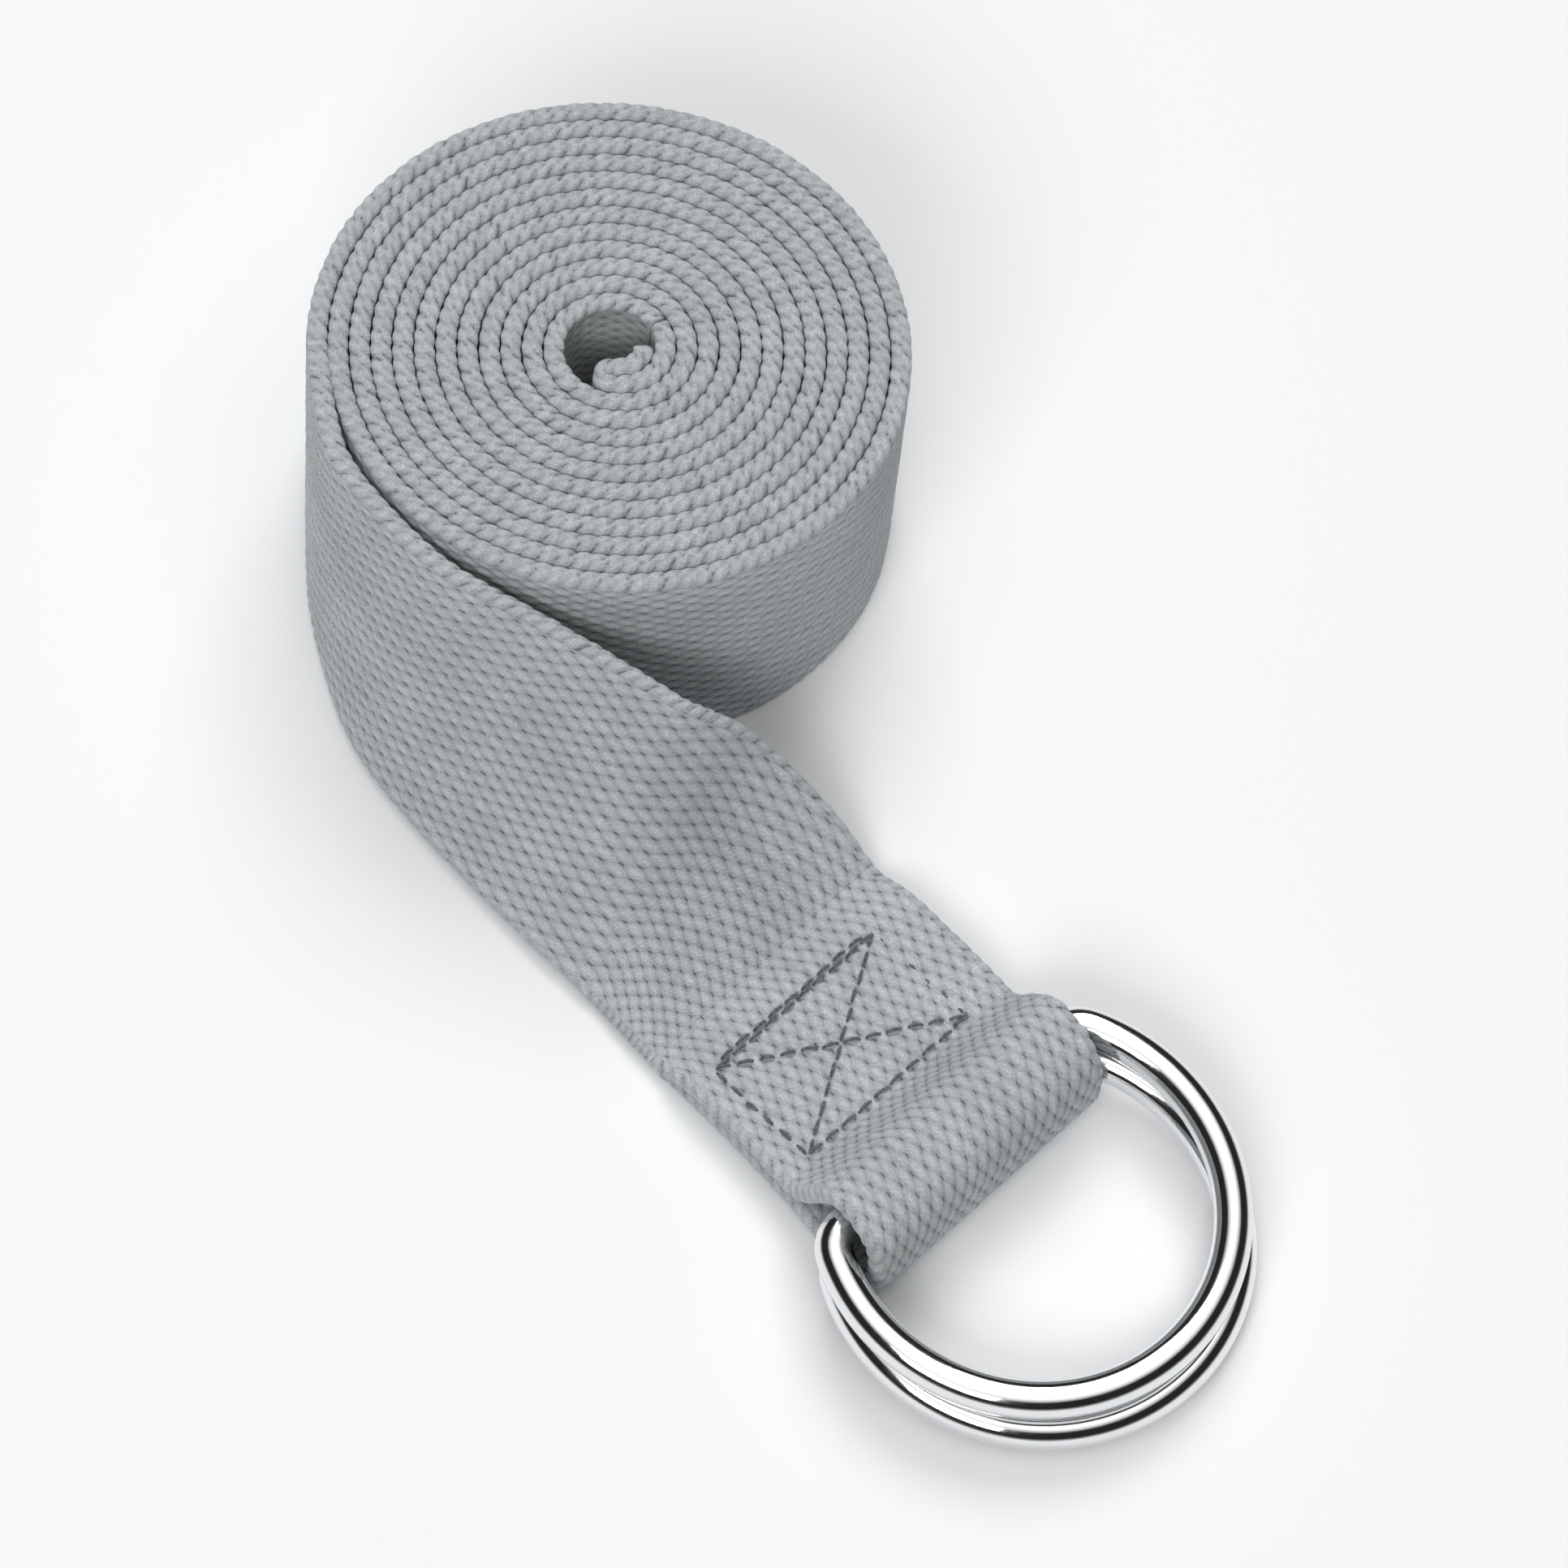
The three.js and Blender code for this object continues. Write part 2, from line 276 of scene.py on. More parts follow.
def bezierPoints(a, b, c, d, steps=60):
    t = np.arange(1, steps + 1)[:, None] / steps
    a, b, c, d = (np.array(q, float) for q in (a, b, c, d))
    return a * (1 - t) ** 3 + 3 * b * t * (1 - t) ** 2 + 3 * c * t ** 2 * (1 - t) + d * t ** 3


def loopPoints():
    # side view of the turned end, each curve by two handles and its end
    ground = strapShape["thick"] / 2
    pitch = strapShape["thick"] + strapShape["gap"]
    foldMid = strapShape["frontX"] - ground
    lowSeam = seamShape["lift"] + ground
    topSeam = lowSeam + pitch
    topLoop = upperBar[1] + ringShape["wire"] / 2 + ringShape["clearance"] + ground
    cutX = strapShape["frontX"] - seamShape["turned"]
    stepEnd = cutX + 4
    front = seamShape["frontX"] + 1.2
    knots = [
        ((20, ground), (stepEnd - 2, ground + pitch), (stepEnd + 4, ground + pitch)),
        ((stepEnd + 9, ground + pitch), (front - 8, topSeam), (front, topSeam)),
        ((front + 3.5, topSeam + 1), (upperBar[0] - 4.4, topLoop), (upperBar[0], topLoop)),
        ((upperBar[0] + 5, topLoop), (foldMid, upperBar[1] + 2), (foldMid, lowerBar[1] + 1.2)),
        ((foldMid, ground + 0.8), (foldMid - 0.8, ground), (lowerBar[0] - 2, ground)),
        ((lowerBar[0] - 5, ground), (front + 2, lowSeam), (front, lowSeam)),
        ((front - 8, lowSeam), (stepEnd + 8, ground), (cutX, ground)),
    ]
    line = [np.array([[strapShape["flatX"], ground]])]
    for b, c, d in knots:
        line.append(bezierPoints(line[-1][-1], b, c, d))
    line = np.vstack(line)
    flatX = strapShape["flatX"]
    reach = np.clip(line[:, 0] - flatX, 0, None) / (strapShape["frontX"] - flatX)
    y = strapShape["nearY"] + strapShape["width"] / 2 - seamShape["drift"] * reach ** 2
    return np.stack([line[:, 0], y, line[:, 1]], axis=1)


def unit(v):
    return v / np.linalg.norm(v, axis=-1, keepdims=True)


def softened(values, kernel):
    reach = len(kernel) // 2
    return np.convolve(np.pad(values, reach, mode="reflect", reflect_type="odd"), kernel, "valid")


def bell(count):
    weights = np.hanning(count)
    return weights / weights.sum()


def runningLength(points):
    return np.concatenate([[0], np.cumsum(np.linalg.norm(np.diff(points, axis=0), axis=1))])


def resampled(points, length, even):
    return np.stack([np.interp(even, length, column) for column in points.T], axis=1)


def woundEnd():
    steps = strapShape["stepsPerTurn"]
    return round(strapShape["rollTurns"] * steps) * 2 * math.pi / steps


def buildTrack():
    # middle line and cross direction of the whole strap, from the core to the cut end
    roll = windingPoints(np.linspace(woundEnd(), 0, trackShape["rollPoints"]))
    stations = np.array(leadStations, float)
    edge = splineThrough(np.hstack([stations[:, :2], np.zeros((len(stations), 1))]))
    across = unit(splineThrough(stations[:, 2:]))
    along = unit(np.gradient(edge, axis=0))
    outward = unit(np.cross(along, across))
    edge[:, 2] = strapShape["thick"] * np.clip(outward[:, 2], 0, None)
    lead = edge + across * strapShape["width"] / 2 - outward * strapShape["thick"] / 2
    loop = loopPoints()
    points = np.vstack([roll, lead[1:], loop[1:]])
    crosses = np.vstack([
        np.tile([0.0, 0, 1], (len(roll), 1)),
        across[1:],
        np.tile([0.0, 1, 0], (len(loop) - 1, 1)),
    ])
    length = runningLength(points)
    leave = length[len(roll) - 1]
    flat = length[len(roll) + len(lead) - 2]
    even = np.arange(length[0], length[-1], trackShape["grain"])
    points = resampled(points, length, even)
    crosses = resampled(crosses, length, even)
    for k in range(3):
        points[:, k] = softened(points[:, k], bell(trackShape["softPlace"]))
        crosses[:, k] = softened(crosses[:, k], bell(trackShape["softTurn"]))
    return {"s": even - leave, "p": points, "a": unit(crosses), "flat": flat - leave}


track = buildTrack()
track["n"] = unit(np.cross(np.gradient(track["p"], axis=0), track["a"]))
coreEnd = track["s"][0]
cutEnd = track["s"][-1]
print("strap line", round(float(cutEnd - coreEnd)), "mm long")


def frameAt(line, s):
    place, across, outward = (resampled(line[key], line["s"], s) for key in ("p", "a", "n"))
    return place, unit(across), unit(outward)


weaveShape = {
    "row": 38.0 / 39,       # one warp yarn across the width
    "lastRow": 38,
    "repeat": 3.96,         # from one float to the next along a yarn
    "longAxis": 2.02,       # half length and half width of a float
    "crossAxis": 1.06,
    "height": 0.50,
    "sink": 0.38,           # how far the valleys lie below the smooth face
    "edgePitch": 1.95,
    "edgeHeight": 0.30,
    "edgeRound": 0.95,
    "edgeSteps": 9,
    "edgeSlant": 0.55,
    "edgeThin": 0.10,
    "hiddenRelief": 0.45,   # of a face that only shows its edge
    "fadeFrom": 17.1,       # where the weave starts to run out into the edge
    "fadeOver": 0.9,
    "fade": 0.6,
    "fineSteps": 60,        # a face with more steps than this gets the weave
    "fullness": 0.8,        # lower makes the floats fuller
    "edgeUneven": 2.2,
    "edgeStray": 0.6,
    "edgeLoop": 0.52,       # half a loop along the edge, in pitches
    "edgeCrown": 1.1,
    "edgeCrownAt": 0.42,
    "edgeCrownHalf": 0.75,
    "sideReach": 1.2,
}
dice = np.random.default_rng(11)
rowTone = dice.normal(0, 1, 64)
floatLift = np.clip(dice.normal(0, 0.07, (64, 1024)), -0.2, 0.15)


def warpAlong(s, t):
    # the rows of weave wander a little
    return s + 0.22 * np.sin(s / 7 + t / 3) + 0.2 * np.sin(t / 2.1 - s / 11) + 0.12 * np.sin(t * 1.3 + s / 5)


def faceRelief(s, t):
    # each float is a long low dome, and where domes meet the higher one shows
    s = warpAlong(s, t)
    across = (t + strapShape["width"] / 2) / weaveShape["row"]
    here = np.clip(np.floor(across), 0, weaveShape["lastRow"]).astype(int)
    top = np.zeros_like(s)
    for step in (-1, 0, 1):
        row = np.clip(here + step, 0, weaveShape["lastRow"])
        phase = s / weaveShape["repeat"] + 0.5 * (row % 2)
        beat = np.floor(phase).astype(int)
        ds = (phase - beat - 0.5) * weaveShape["repeat"] / weaveShape["longAxis"]
        dt = (across - row - 0.5) * weaveShape["row"] / weaveShape["crossAxis"]
        lift = 1 + floatLift[row, beat % 1024]
        top = np.maximum(top, (1 - ds ** 2 - dt ** 2) * lift)
    return np.clip(top, 0, 1.2) ** weaveShape["fullness"]


def edgeRelief(s, turn):
    # two rows of slanting loops that lock along the middle of the edge
    side = np.where(turn < 0.5, 0, 1)
    q = np.abs(turn - 0.5) * 2
    beat = s / weaveShape["edgePitch"] + 0.5 * side
    beat = beat + weaveShape["edgeSlant"] * q * np.where(side == 0, 1, -1)
    loopNo = np.floor(beat).astype(int)
    lift = 1 + floatLift[side + 2, loopNo % 1024] * weaveShape["edgeUneven"]
    x = beat - loopNo - 0.5 + floatLift[side + 4, loopNo % 1024] * weaveShape["edgeStray"]
    along = np.clip(1 - (x / weaveShape["edgeLoop"]) ** 2, 0, 1)
    over = (q - weaveShape["edgeCrownAt"]) / weaveShape["edgeCrownHalf"]
    yarn = along * np.clip(weaveShape["edgeCrown"] - over ** 2, 0, 1)
    return np.clip(yarn * lift, 0, 1.25) ** weaveShape["fullness"]


def sectionPoints(faceSteps, backSteps):
    # (t, share of the half thickness, kind, turn) round the section, outer face first
    edgeSteps = weaveShape["edgeSteps"]
    half = strapShape["width"] / 2 - weaveShape["edgeRound"]
    out = []
    for k in range(faceSteps):
        out.append((-half + 2 * half * k / faceSteps, 1, 0, 0))
    for k in range(edgeSteps):
        a = math.pi * k / edgeSteps
        out.append((half + weaveShape["edgeRound"] * math.sin(a), math.cos(a), 1, k / edgeSteps))
    for k in range(backSteps):
        out.append((half - 2 * half * k / backSteps, -1, 2, 0))
    for k in range(edgeSteps):
        a = math.pi * k / edgeSteps
        out.append((-half - weaveShape["edgeRound"] * math.sin(a), -math.cos(a), 3, 1 - k / edgeSteps))
    return np.array(out)


def stitchPinch(spot):
    # how far the sewing pulls the cloth down at a place on the upper layer
    near, far = seamShape["midY"] - seamShape["half"], seamShape["midY"] + seamShape["half"]
    front, rear = seamShape["frontX"], seamShape["frontX"] - seamShape["length"]
    rows = [((rear, near), (rear, far)), ((front, near), (front, far)), ((rear, near), (front, near)),
            ((rear, far), (front, far)), ((rear, near), (front, far)), ((rear, far), (front, near))]
    pull = np.zeros(spot.shape[:-1])
    for (ax, ay), (bx, by) in rows:
        run = np.array([bx - ax, by - ay])
        length = np.hypot(*run)
        rel = spot[..., :2] - np.array([ax, ay])
        along = np.clip(rel @ run / length, 0, length)
        away = np.linalg.norm(rel - along[..., None] * run / length, axis=-1)
        narrow = np.exp(-(away / seamShape["narrowPull"]) ** 2)
        wide = np.exp(-(away / seamShape["widePull"]) ** 2)
        pull = np.maximum(pull, narrow + seamShape["wideShare"] * wide)
    return np.minimum(pull, seamShape["mostPull"])


def readPlaces(mesh):
    flat = np.empty(len(mesh.vertices) * 3)
    mesh.vertices.foreach_get("co", flat)
    return flat.reshape(-1, 3)


def skinGrid(name, columns, rows, shaper):
    # a flat grid shaped into a closed sleeve, its long edges welded and its ends filled
    deselectAll()
    bpy.ops.mesh.primitive_grid_add(x_subdivisions=columns, y_subdivisions=rows, size=2)
    piece = bpy.context.object
    piece.name = name
    piece.data.name = name
    flat = readPlaces(piece.data)
    u = (flat[:, 0] + 1) / 2
    v = (flat[:, 1] + 1) / 2
    spots, extras = shaper(u, v)
    piece.data.vertices.foreach_set("co", (spots * mm).ravel())
    for key, values in extras.items():
        kind = "FLOAT_VECTOR" if values.ndim == 2 else "FLOAT"
        layer = piece.data.attributes.new(key, kind, "POINT")
        field = "vector" if values.ndim == 2 else "value"
        layer.data.foreach_set(field, values.astype(np.float32).ravel())
    for layer in list(piece.data.uv_layers):
        piece.data.uv_layers.remove(layer)
    bpy.ops.object.mode_set(mode="EDIT")
    bpy.ops.mesh.select_all(action="SELECT")
    bpy.ops.mesh.remove_doubles(threshold=0.000005)
    bpy.ops.mesh.fill_holes(sides=0)
    bpy.ops.mesh.normals_make_consistent(inside=False)
    bpy.ops.object.mode_set(mode="OBJECT")
    bpy.ops.object.shade_smooth()
    for face in piece.data.polygons:
        if len(face.vertices) > 4:      # the ends stay flat, so no shade creeps round to the next piece
            face.use_smooth = False
    return piece


# steps across the outer face, steps across the back, and step along
stripDetail = {
    "roll_outer_turn": (156, 10, 0.46),
    "roll_inner_turns": (4, 4, 0.36),
    "twisting_lead": (156, 78, 0.32),
    "ring_loop": (156, 78, 0.32),
    "core_hem": (78, 40, 0.36),
}


def webStrip(name, line, start, end, pinch=False):
    faceSteps, backSteps, step = stripDetail[name]
    section = sectionPoints(faceSteps, backSteps)
    count = len(section)
    columns = max(4, int(round((end - start) / step)))
    half = strapShape["thick"] / 2

    def shaper(u, v):
        s = start + (end - start) * u
        k = np.round(v * count).astype(int) % count
        t, side, kind, turn = section[k].T
        p, a, n = frameAt(line, s)
        face = (kind == 0) | (kind == 2)
        fine = np.where(kind == 0, faceSteps, backSteps) > weaveShape["fineSteps"]
        faceLift = np.where(fine, faceRelief(s, t), weaveShape["hiddenRelief"])
        relief = np.where(face, faceLift, edgeRelief(s, turn))
        spread = np.clip((np.abs(t) - weaveShape["fadeFrom"]) / weaveShape["fadeOver"], 0, 1)
        lift = relief * weaveShape["height"] - weaveShape["sink"]
        lift = lift * (1 - weaveShape["fade"] * spread)
        thick = np.where(face, half + lift, half - weaveShape["edgeThin"])
        spot = p + a * t[:, None] + n * (side * thick)[:, None]
        swell = np.sin(np.pi * turn)
        outX = np.where(kind == 1, swell, np.where(kind == 3, -swell, 0))
        push = np.where(face, 0, relief * weaveShape["edgeHeight"])
        spot = spot + a * (outX * push)[:, None] + n * (side * push)[:, None]
        if pinch:
            atEnd = np.clip(1 - (end - s) / seamShape["pressedOver"], 0, 1)
            spot[:, 2] = spot[:, 2] * (1 - seamShape["pressed"] * atEnd)
            top = (kind == 0) & (n[:, 2] > 0.8) & (spot[:, 0] < seamShape["pullBefore"])
            pull = np.where(top, stitchPinch(spot), 0)
            spot = spot - n * (seamShape["pull"] * pull)[:, None]
        row = np.floor((t + strapShape["width"] / 2) / weaveShape["row"])
        row = np.clip(row, 0, weaveShape["lastRow"]).astype(int)
        tone = np.where(face, rowTone[row], 0)
        # this height also sets the cloth colour: painted shade in the valleys of the weave, painted
        # highlight on the float tops
        depth = np.clip(np.where(face, relief, 0.18 + 0.72 * relief), 0, 1)
        return spot + shift, {
            "weaveDepth": depth,
            "yarnTone": tone,
            "strapPlace": np.stack([warpAlong(s, t), t, side * weaveShape["sideReach"]], axis=1),
            "edgeShare": np.where(face, 0.0, 1.0),
        }

    return skinGrid(name, columns, count, shaper)


clothLook = {
    # base is the yarn's own grey; the two colours after it are painted shade, near black, down in the
    # valleys of the weave, and painted highlight on the tops of the floats; the ramp points say where on the
    # weave height they sit
    "base": (0.355, 0.378, 0.387, 1),
    "valleyPaintedShade": (0.032, 0.036, 0.04, 1),
    "floatTopPaintedHighlight": (0.50, 0.527, 0.537, 1),
    "rampStart": 0.12,
    "rampMiddle": 0.42,
    "roughness": 0.96,
    "specular": 0.12,
    "sheen": 0.25,
    "sheenRoughness": 0.6,
    "fleck": (0.66, 1.32),
    "wash": (0.94, 1.05),
    "rowTone": 0.035,
    "plyAngle": 38,
    "plyScale": 0.62,
    "fibreScale": 2.6,
    "cloudScale": 0.11,
    "hairScale": 7.0,
    # strength and depth of each bump
    "floatBump": (0.7, 0.00035),
    "plyBump": (0.35, 0.00012),
    "hairBump": (0.6, 0.00015),
}


def addNode(tree, kind, **values):
    node = tree.nodes.new(kind)
    for key, value in values.items():
        if key in node.inputs:
            node.inputs[key].default_value = value
        else:
            setattr(node, key, value)
    return node


def mixColour(tree, blend, amount, a, b):
    node = addNode(tree, "ShaderNodeMix", data_type="RGBA", blend_type=blend)
    for socket, value in ((0, amount), (6, a), (7, b)):
        if isinstance(value, bpy.types.NodeSocket):
            tree.links.new(value, node.inputs[socket])
        else:
            node.inputs[socket].default_value = value
    return node.outputs[2]


def mathNode(tree, operation, a, b=None):
    node = addNode(tree, "ShaderNodeMath", operation=operation)
    for socket, value in ((0, a), (1, b)):
        if isinstance(value, bpy.types.NodeSocket):
            tree.links.new(value, node.inputs[socket])
        elif value is not None:
            node.inputs[socket].default_value = value
    return node.outputs[0]


def rangeNode(tree, value, toRange, fromRange=(0.0, 1.0)):
    node = addNode(tree, "ShaderNodeMapRange")
    node.inputs["From Min"].default_value, node.inputs["From Max"].default_value = fromRange
    node.inputs["To Min"].default_value, node.inputs["To Max"].default_value = toRange
    tree.links.new(value, node.inputs["Value"])
    return node.outputs["Result"]


def rampNode(tree, value, low, high, lowAt, highAt):
    node = addNode(tree, "ShaderNodeValToRGB")
    first, last = node.color_ramp.elements
    first.position, first.color = lowAt, low
    last.position, last.color = highAt, high
    tree.links.new(value, node.inputs["Fac"])
    return node


def bumpNode(tree, height, strength, distance, under=None):
    node = addNode(tree, "ShaderNodeBump", Strength=strength, Distance=distance)
    tree.links.new(height, node.inputs["Height"])
    if under:
        tree.links.new(under, node.inputs["Normal"])
    return node.outputs["Normal"]


def floatDomes(tree, place):
    # the same domes as the mesh has, crisp at any size; one set of floats lies between the other
    split = addNode(tree, "ShaderNodeSeparateXYZ")
    tree.links.new(place, split.inputs["Vector"])
    tops = []
    for slip in (0.0, 0.5):
        beat = mathNode(tree, "MULTIPLY_ADD", split.outputs["X"], 1 / weaveShape["repeat"])
        beat.node.inputs[2].default_value = slip
        row = mathNode(tree, "MULTIPLY_ADD", split.outputs["Y"], 0.5 / weaveShape["row"])
        row.node.inputs[2].default_value = strapShape["width"] / 4 / weaveShape["row"] + 0.25 + slip
        parts = []
        for value, size in ((beat, weaveShape["repeat"] / weaveShape["longAxis"]),
                            (row, 2 * weaveShape["row"] / weaveShape["crossAxis"])):
            centred = mathNode(tree, "SUBTRACT", mathNode(tree, "FRACT", value), 0.5)
            scaled = mathNode(tree, "MULTIPLY", centred, size)
            parts.append(mathNode(tree, "MULTIPLY", scaled, scaled))
        tops.append(mathNode(tree, "SUBTRACT", 1.0, mathNode(tree, "ADD", *parts)))
    return mathNode(tree, "MAXIMUM", *tops)


def clothMaterial():
    material = bpy.data.materials.new("grey_cotton_webbing")
    material.use_nodes = True
    tree = material.node_tree
    link = tree.links.new
    shader = tree.nodes["Principled BSDF"]
    shader.inputs["Roughness"].default_value = clothLook["roughness"]
    shader.inputs["Specular IOR Level"].default_value = clothLook["specular"]
    shader.inputs["Sheen Weight"].default_value = clothLook["sheen"]
    shader.inputs["Sheen Roughness"].default_value = clothLook["sheenRoughness"]
    depth = addNode(tree, "ShaderNodeAttribute", attribute_name="weaveDepth")
    place = addNode(tree, "ShaderNodeAttribute", attribute_name="strapPlace")
    tone = addNode(tree, "ShaderNodeAttribute", attribute_name="yarnTone")
    edge = addNode(tree, "ShaderNodeAttribute", attribute_name="edgeShare")
    domes = floatDomes(tree, place.outputs["Vector"])
    pick = addNode(tree, "ShaderNodeMix", data_type="FLOAT")
    link(edge.outputs["Fac"], pick.inputs[0])
    link(domes, pick.inputs[2])
    link(depth.outputs["Fac"], pick.inputs[3])
    weave = pick.outputs[0]
    # the weave height picks the colour: painted shade where the weave dips, the yarn's grey between, painted
    # highlight on the float tops
    ramp = rampNode(tree, weave, clothLook["valleyPaintedShade"], clothLook["floatTopPaintedHighlight"], clothLook["rampStart"], 1.0)
    ramp.color_ramp.elements.new(clothLook["rampMiddle"]).color = clothLook["base"]
    stretch = addNode(tree, "ShaderNodeMapping", Scale=(1.0, 4.0, 4.0))
    link(place.outputs["Vector"], stretch.inputs["Vector"])
    fibres = addNode(tree, "ShaderNodeTexNoise", Scale=clothLook["fibreScale"], Detail=4.0, Roughness=0.65)
    link(stretch.outputs["Vector"], fibres.inputs["Vector"])
    fleck = rangeNode(tree, fibres.outputs["Fac"], clothLook["fleck"], (0.3, 0.7))
    cloud = addNode(tree, "ShaderNodeTexNoise", Scale=clothLook["cloudScale"], Detail=2.0)
    link(place.outputs["Vector"], cloud.inputs["Vector"])
    wash = rangeNode(tree, cloud.outputs["Fac"], clothLook["wash"], (0.3, 0.7))
    yarn = mathNode(tree, "MULTIPLY_ADD", tone.outputs["Fac"], clothLook["rowTone"])
    link(wash, yarn.node.inputs[2])
    both = mathNode(tree, "MULTIPLY", yarn, fleck)
    colour = mixColour(tree, "MULTIPLY", 1.0, ramp.outputs["Color"], both)
    link(colour, shader.inputs["Base Color"])
    # plies twisted across each yarn, then loose fibre
    skew = addNode(tree, "ShaderNodeMapping", Rotation=(0, 0, math.radians(clothLook["plyAngle"])))
    link(place.outputs["Vector"], skew.inputs["Vector"])
    plies = addNode(tree, "ShaderNodeTexWave", Scale=clothLook["plyScale"], Distortion=2.2, Detail=2.0)
    plies.inputs["Detail Scale"].default_value = 1.6
    link(skew.outputs["Vector"], plies.inputs["Vector"])
    puffed = bumpNode(tree, weave, *clothLook["floatBump"])
    coarse = bumpNode(tree, plies.outputs["Fac"], *clothLook["plyBump"], puffed)
    hair = addNode(tree, "ShaderNodeTexNoise", Scale=clothLook["hairScale"], Detail=3.0, Roughness=0.7)
    link(place.outputs["Vector"], hair.inputs["Vector"])
    link(bumpNode(tree, hair.outputs["Fac"], *clothLook["hairBump"], coarse), shader.inputs["Normal"])
    return material


steelLook = {
    "colour": (0.83, 0.835, 0.84, 1),
    "gloss": (0.05, 0.15),
    "drawnScale": 900.0,
    "waveScale": 260.0,
    "waveBump": (0.12, 0.0001),
}


def steelMaterial():
    material = bpy.data.materials.new("polished_ring_steel")
    material.use_nodes = True
    tree = material.node_tree
    link = tree.links.new
    shader = tree.nodes["Principled BSDF"]
    shader.inputs["Base Color"].default_value = steelLook["colour"]
    shader.inputs["Metallic"].default_value = 1.0
    where = addNode(tree, "ShaderNodeTexCoord")
    drawn = addNode(tree, "ShaderNodeTexNoise", Scale=steelLook["drawnScale"], Detail=5.0, Roughness=0.6)
    link(where.outputs["Object"], drawn.inputs["Vector"])
    link(rangeNode(tree, drawn.outputs["Fac"], steelLook["gloss"]), shader.inputs["Roughness"])
    waves = addNode(tree, "ShaderNodeTexNoise", Scale=steelLook["waveScale"], Detail=2.0)
    link(where.outputs["Object"], waves.inputs["Vector"])
    link(bumpNode(tree, waves.outputs["Fac"], *steelLook["waveBump"]), shader.inputs["Normal"])
    return material


threadLook = {
    "dark": (0.045, 0.043, 0.062, 1),
    "light": (0.155, 0.15, 0.19, 1),
    "roughness": 0.62,
    "sheen": 0.3,
    "speckScale": 2600.0,
    "speckBump": (0.4, 0.00008),
}


def threadMaterial():
    material = bpy.data.materials.new("slate_sewing_thread")
    material.use_nodes = True
    tree = material.node_tree
    link = tree.links.new
    shader = tree.nodes["Principled BSDF"]
    shader.inputs["Roughness"].default_value = threadLook["roughness"]
    shader.inputs["Sheen Weight"].default_value = threadLook["sheen"]
    where = addNode(tree, "ShaderNodeTexCoord")
    specks = addNode(tree, "ShaderNodeTexNoise", Scale=threadLook["speckScale"], Detail=3.0)
    link(where.outputs["Object"], specks.inputs["Vector"])
    ramp = rampNode(tree, specks.outputs["Fac"], threadLook["dark"], threadLook["light"], 0.35, 0.7)
    link(ramp.outputs["Color"], shader.inputs["Base Color"])
    link(bumpNode(tree, specks.outputs["Fac"], *threadLook["speckBump"]), shader.inputs["Normal"])
    return material


cloth = clothMaterial()
steel = steelMaterial()
sewingThread = threadMaterial()
print("cloth, steel and thread are mixed")


def finishPiece(piece, material, body, slot, *nodes):
    piece.data.materials.clear()
    piece.data.materials.append(material)
    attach(piece, body)
    if nodes:
        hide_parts(*nodes)
    return piece


outerTurn = -232.0          # the outermost turn, where the outer face shows

roll = webStrip("roll_outer_turn", track, outerTurn, 0)
finishPiece(roll, cloth, "strap", "webbing", "webbing_roll")
inner = webStrip("roll_inner_turns", track, coreEnd, outerTurn)
finishPiece(inner, cloth, "strap", "webbing")
print("roll", len(roll.data.polygons), len(inner.data.polygons))

lead = webStrip("twisting_lead", track, 0, track["flat"])
finishPiece(lead, cloth, "strap", "webbing", "webbing_lead")
loop = webStrip("ring_loop", track, track["flat"], cutEnd, pinch=True)
finishPiece(loop, cloth, "strap", "webbing", "webbing_ring_loop")
print("lead and loop", len(lead.data.polygons), len(loop.data.polygons))


hemShape = {
    "gap": 0.3 / 7,         # angle left free after the roll
    "reach": 125,           # degrees to the fold, and back from it
    "back": 92,
    "steps": 60,
    "foldSteps": 12,
}


def buildHem():
    # the last bit of the strap, folded back along the inside of the core
    pitch = strapShape["thick"] + strapShape["gap"]
    start = woundEnd() + hemShape["gap"]
    fold = start + math.radians(hemShape["reach"])
    backTo = fold - math.radians(hemShape["back"])
    outer = windingPoints(np.linspace(start, fold, hemShape["steps"]))
    back = windingPoints(np.linspace(fold, backTo, hemShape["steps"]), pitch)
    centre = (outer[-1] + back[0]) / 2
    arm = outer[-1] - centre
    bend = []
    for k in range(1, hemShape["foldSteps"]):
        a = -math.pi * k / hemShape["foldSteps"]
        bend.append(centre + [arm[0] * math.cos(a) - arm[1] * math.sin(a),
                              arm[0] * math.sin(a) + arm[1] * math.cos(a), 0])
    points = np.vstack([outer, bend, back])[::-1]
    length = runningLength(points)
    even = np.arange(0, length[-1], trackShape["grain"])
    points = resampled(points, length, even)
    line = {"s": even, "p": points, "a": np.tile([0.0, 0, 1], (len(even), 1))}
    line["n"] = unit(np.cross(np.gradient(points, axis=0), line["a"]))
    return line


hemLine = buildHem()
hem = webStrip("core_hem", hemLine, 0, hemLine["s"][-1])
finishPiece(hem, cloth, "strap", "webbing", "webbing_tail_hem")
print("hem folded into the core")

threadShape = {
    "radius": 0.22,
    "stitch": 2.75,
    "arch": 0.32,
    "plies": 0.22,          # how deep the twist cuts
    "twist": 1.15,          # turns in one stitch
    "plyMiddle": 0.6,
    "endWidth": 0.55,       # share of the radius where a stitch dives in
    "midWidth": 0.45,       # and what is added in its middle
    "grid": 14,
    "gap": 0.12,            # share of a stitch before it comes up
    "wander": 0.07,
    "hemStitches": 12,
    "hemGap": 0.06,
    "hemOut": 0.3,
}


